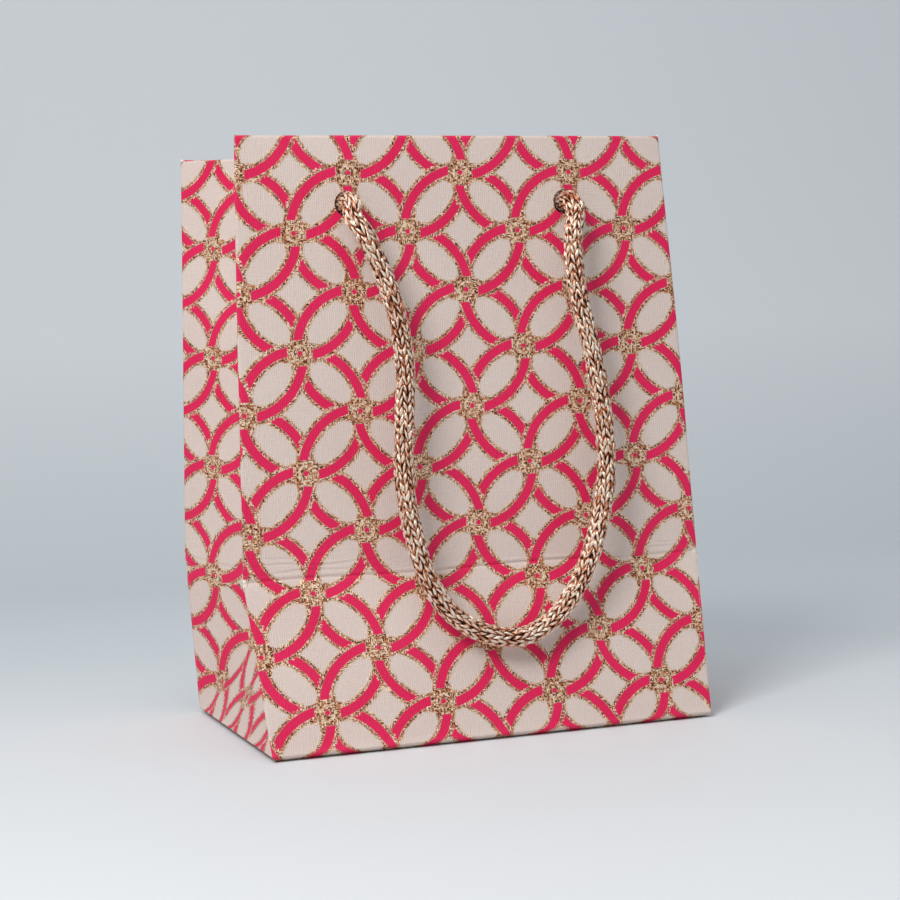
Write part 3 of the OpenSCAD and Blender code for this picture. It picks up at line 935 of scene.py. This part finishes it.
def knot(name, hole, face_sign, side, panel_body):
    """A pulled-tight overhand knot behind a hole, with its cut end hanging down."""
    out, across = np.array([0.0, face_sign, 0.0]), np.array([side, 0.0, 0.0])
    middle = hole - out * KNOT_DEPTH
    turn = np.linspace(KNOT_OPEN, 2 * PI - KNOT_OPEN, KNOT_POINTS)[:, None]
    ring = 2 + np.cos(3 * turn)
    trefoil = out * ring * np.cos(2 * turn) + UP * ring * np.sin(2 * turn) + across * np.sin(3 * turn)
    lead = [middle + out * o + across * a + UP * h for o, a, h in KNOT_LEAD]
    tail = [middle + out * o + across * a + UP * h for o, a, h in KNOT_TAIL]
    points = lead + list(middle + KNOT_SIZE * trefoil) + tail
    piece, _ = braided_cord(name + "_braid", points, KNOT_CORD_D)
    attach(piece, panel_body)
    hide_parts(name)


for face, face_sign, route in (("front", -1.0, FRONT_ROUTE), ("back", 1.0, BACK_ROUTE)):
    handle(
        face + "_handle", route, face_sign,
        [face + "_handle_cord", face + "_cord_ends"],
    )
    for end in (route[0], route[-1]):
        side = math.copysign(1.0, end[0])
        name = face + ("_left_knot" if side < 0 else "_right_knot")
        knot(name, np.array(end) / MM, face_sign, side, face + "_panel")

# ---------------------------------------------------------------- the paper pieces

panel_sheet("front_sheet", 0.0, ["front_panel", "front_band", "front_hem"])
panel_sheet("back_sheet", HALF_ROUND, ["back_panel", "back_band", "back_hem"])
GUSSET_SHEETS = (
    ("right", "front", FOLD_U + OVERLAP, MIDDLE_U), ("right", "back", MIDDLE_U, BACK_U - OVERLAP),
    ("left", "front", -MIDDLE_U, -FOLD_U - OVERLAP), ("left", "back", OVERLAP - BACK_U, -MIDDLE_U),
)
for side, face, start_u, end_u in GUSSET_SHEETS:
    middle_u = math.copysign(MIDDLE_U, start_u)
    mouth_y = front_mouth_y if face == "front" else back_mouth_y
    nodes = [f"{side}_gusset_{face}", f"{side}_hem_{face}"]
    gusset_sheet(f"{side}_gusset_{face}_sheet", start_u, end_u, middle_u, mouth_y, nodes)
gusset_foot("right_gusset_foot", 1, ["right_wing_front", "right_wing_back", "right_base_triangle"])
gusset_foot("left_gusset_foot", -1, ["left_wing_front", "left_wing_back", "left_base_triangle"])

FLAP_IN = 0.6
FLAP_SLANT = 20.0  # a flap narrows by this much on each side towards its free edge
FLAP_PLAY = 1.0
SIDE_FLAP_PLAY = 4.0
FLAP_LAP = 8.0
FLAP_LONG = GUSSET_W / 2 + FLAP_LAP
FLAP_SHORT = 30.0
FLAP_WAVE = 0.05
FLOOR_GAP = 0.03
BASE_PITCH = 1.5


def base_flap(name, centre_u, width, length, angle, foot, level):
    """A flap turned in under the bag, printed on the side that faces the floor."""
    cos, sin = math.cos(angle), math.sin(angle)

    def place(u, v):
        inward = -v
        half = width / 2
        across = (u - centre_u) / half * (half - FLAP_SLANT * np.maximum(inward, 0) / length)
        z = level + FOOT_LIFT * bell(inward + FLAP_IN, FOOT_REACH)
        z = z + FLAP_WAVE * np.sin(u * 0.2) * np.sin(v * 0.17)
        x = foot[0] + across * cos - inward * sin
        y = foot[1] + across * sin + inward * cos
        return np.stack([x, y, np.maximum(z, FLOOR_GAP)], -1)

    us = stations(centre_u - width / 2, centre_u + width / 2, BASE_PITCH)
    vs = stations(-length, 0.0, BASE_PITCH, (0.0,), FOLD_PITCH)
    piece = shell(name + "_sheet", us, vs, place, sheet_uv)
    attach(piece, "bag")
    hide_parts(name)


middle_y = (front_foot_y + back_foot_y) / 2
long_w = FRONT_W - 2 * FLAP_IN
back_w = long_w - FLAP_PLAY
side_w = GUSSET_W - SIDE_FLAP_PLAY
base_flap("base_front_flap", 0.0, long_w, FLAP_LONG, 0.0, (0.0, front_foot_y + FLAP_IN), 0.0)
base_flap("base_back_flap", HALF_ROUND, back_w, FLAP_LONG, PI, (0.0, back_foot_y - FLAP_IN), PAPER_T)
for side, side_name in ((-1, "left"), (1, "right")):
    foot = (side * (FRONT_W / 2 - 2 * FLAP_IN), middle_y)
    flap = f"base_{side_name}_flap"
    base_flap(flap, side * MIDDLE_U, side_w, FLAP_SHORT, side * PI / 2, foot, 2 * PAPER_T)

BOARD_GAP = 5.0
BOARD_T = 1.2
BOARD_BOW = 0.25
BOARD_CORNER = 0.75  # how far the card's corners are worn in


def base_board_sheet():
    """The loose grey board that stiffens the base, bowed a little."""
    half_w, half_d = (FRONT_W - BOARD_GAP) / 2, (GUSSET_W - BOARD_GAP) / 2

    def place(u, v):
        bow = BOARD_BOW * np.cos(u / half_w * PI / 2) * np.cos(v / half_d * PI / 2)
        worn = BOARD_CORNER * np.clip((np.hypot(u / half_w, v / half_d) - 1.33) / 0.08, 0, 1)
        x = u - np.sign(u) * worn
        y = middle_y + v - np.sign(v) * worn
        return np.stack([x, y, 3 * PAPER_T + BOARD_T + bow], -1)

    us, vs = stations(-half_w, half_w, BASE_PITCH), stations(-half_d, half_d, BASE_PITCH)
    piece = shell(
        "base_board_card", us, vs, place, lambda u, v: (u, v), thickness=BOARD_T, materials=(BOARD,) * 3,
    )
    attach(piece, "bag")
    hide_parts("base_board")


base_board_sheet()

SEAM_FROM = HALF_ROUND - 53.0
SEAM_W = 11.0
SEAM_FOOT = 4.0
SEAM_BELOW_HEM = 1.0
GLUE_T = 0.02
SEAM_CURL = 0.08


def glue_seam_sheet():
    """The end of the sheet, glued flat inside the back from the base to the hem."""

    def place(u, v):
        behind = PAPER_T + GLUE_T + SEAM_CURL * bell(u - SEAM_FROM, 0.8)
        return wall(u, v) - outward(u, v) * behind[..., None]

    us = stations(SEAM_FROM, SEAM_FROM + SEAM_W, 1.0)
    vs = crease_stations(SEAM_FOOT, SHEET_H - HEM_H - SEAM_BELOW_HEM, 1.2, 0.3)
    piece = shell("glue_seam_sheet", us, vs, place, sheet_uv, materials=(PLAIN, PLAIN, CUT_EDGE))
    bend_at(piece)
    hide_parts("glue_seam", "glue_seam_foot")


glue_seam_sheet()

for node in ("front_strip", "back_strip"):
    mesh = frame["nodes"][node].data
    mesh.materials.clear()
    mesh.materials.append(BOARD)

# ---------------------------------------------------------------- floor and light


STAGE_FRONT = -2.5
STAGE_BACK = 0.36
STAGE_BEND = 0.42
STAGE_RISE = 2.4
STAGE_HALF = 2.5
BEND_STEPS = 33
FLOOR_NEAR = linear(230, 234, 237)
# the far floor colour is painted shade, darker towards the foot of the sweep
FLOOR_SHADED_FAR = linear(218, 225, 229)
BACKDROP = linear(241, 245, 248)


def make_stage():
    """A pale sheet, in metres, that runs back under the bag and sweeps up behind it."""
    turn = CAMERA_YAW * 0.6
    profile = [(STAGE_FRONT, 0.0), (STAGE_BACK, 0.0)]
    for a in np.linspace(0, PI / 2, BEND_STEPS)[1:]:
        profile.append((STAGE_BACK + STAGE_BEND * math.sin(a), STAGE_BEND * (1 - math.cos(a))))
    profile.append((STAGE_BACK + STAGE_BEND, STAGE_RISE))
    points = []
    for depth, z in profile:
        for x in (-STAGE_HALF, STAGE_HALF):
            across = x * math.cos(turn) + depth * math.sin(turn)
            along = depth * math.cos(turn) - x * math.sin(turn)
            points.append((across / MM, along / MM, z / MM))
    faces = [(2 * k, 2 * k + 1, 2 * k + 3, 2 * k + 2) for k in range(len(profile) - 1)]
    shader = Shader("pale seamless paper", roughness=0.6, specular_ior_level=0.3)
    place = shader.place()
    split = shader.node("ShaderNodeSeparateXYZ", Vector=place)
    x, y, z = (Value(shader.tree, split.outputs[k]) for k in range(3))
    depth = x * math.sin(turn) + y * math.cos(turn)
    cloud = shader.noise(place, 3.0, 2.0) * 0.1
    # painted shade: the floor grades darker from near to far, towards the foot of the sweep
    far = shader.mix((z / 0.12 + cloud).clamp(), FLOOR_SHADED_FAR, BACKDROP)
    shader.set("Base Color", shader.mix(((depth + 0.14) / 0.3 + cloud).clamp(), FLOOR_NEAR, far))
    floor = add_object("floor", points, faces, [shader.material])


def area_light(name, at, target, size, power, colour):
    data = bpy.data.lights.new(name, "AREA")
    data.shape = "RECTANGLE"
    data.size, data.size_y = size, size
    data.energy = power
    data.color = colour
    lamp = bpy.data.objects.new(name, data)
    lamp.location = at
    lamp.rotation_euler = (Vector(target) - Vector(at)).to_track_quat("-Z", "Y").to_euler()
    bpy.context.scene.collection.objects.link(lamp)


SKY = (*linear(214, 220, 226), 1.0)
SKY_STRENGTH = 0.37


def make_light():
    """A small lamp to the upper left, a broad one overhead and an even sky, placed in metres."""
    area_light("key", (-0.42, -0.42, 0.54), (0.0, 0.0, 0.08), 0.28, 3.25, (1.0, 0.985, 0.965))
    area_light("top", (-0.15, -0.3, 1.3), (0.0, -0.1, 0.0), 0.9, 5.2, (1.0, 1.0, 1.0))
    world = bpy.data.worlds.new("world")
    bpy.context.scene.world = world
    world.use_nodes = True
    background = world.node_tree.nodes["Background"]
    background.inputs["Color"].default_value = SKY
    background.inputs["Strength"].default_value = SKY_STRENGTH
    bpy.context.scene.view_settings.view_transform = "Standard"


make_stage()
make_light()
